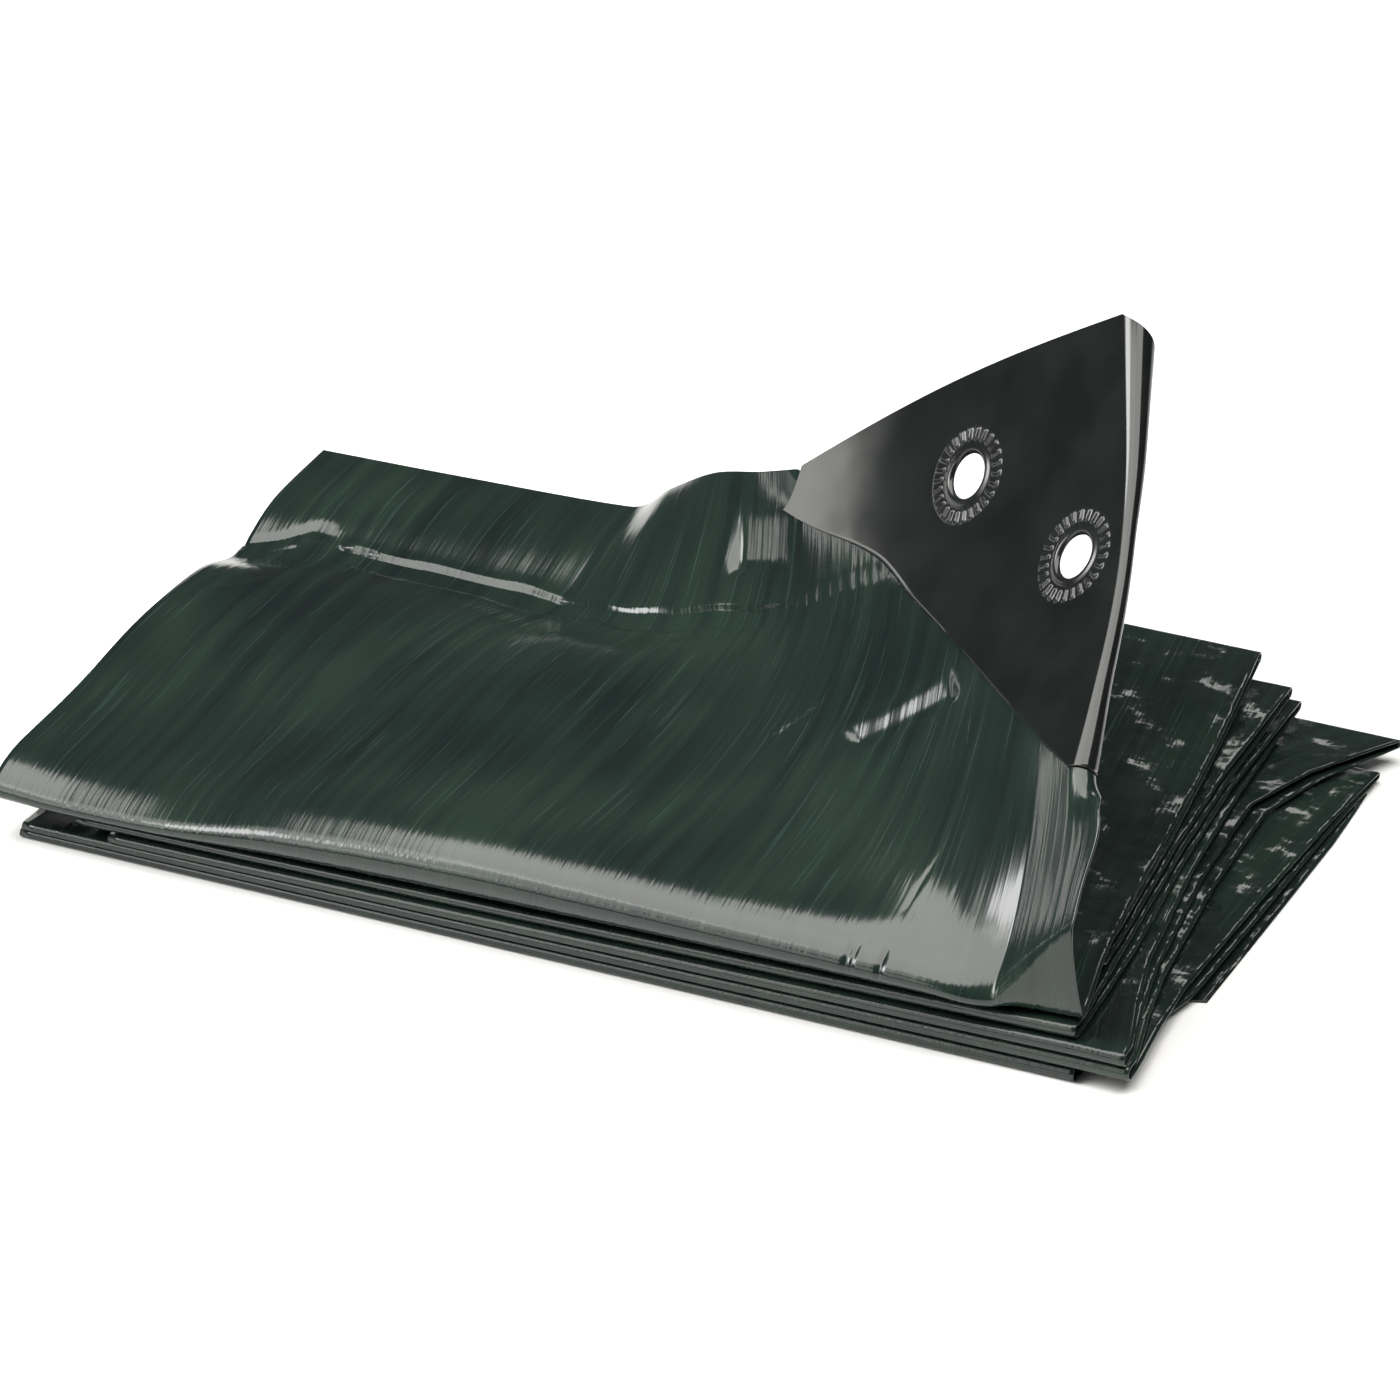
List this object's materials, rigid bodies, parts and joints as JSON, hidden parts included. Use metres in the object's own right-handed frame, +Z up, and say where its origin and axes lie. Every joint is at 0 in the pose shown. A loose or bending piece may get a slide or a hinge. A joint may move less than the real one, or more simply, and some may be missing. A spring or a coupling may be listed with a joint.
{
  "type": "folded poly tarp",
  "caption": "Thin glossy plastic tarp folded back and forth into a flat bundle, with one reinforced corner standing up and showing its toothed eyelets.",
  "frame": {"origin": "middle of the flat underside, on the surface that the bundle lies on", "axes": "+X along the front folds to the end with the raised corner, +Y from the front folds to the back, +Z up"},
  "size_m": [0.3235, 0.1974, 0.1445],
  "materials": {
    "green_film": "glossy streaked film",
    "black_film": "glossy smooth film",
    "black_plastic": "satin pressed plastic"
  },
  "bodies": {
    "root": {"tarp_sheet": "green_film", "corner_patch": "black_film", "eyelet_upper": "black_plastic", "eyelet_lower": "black_plastic"}
  },
  "joints": []
}
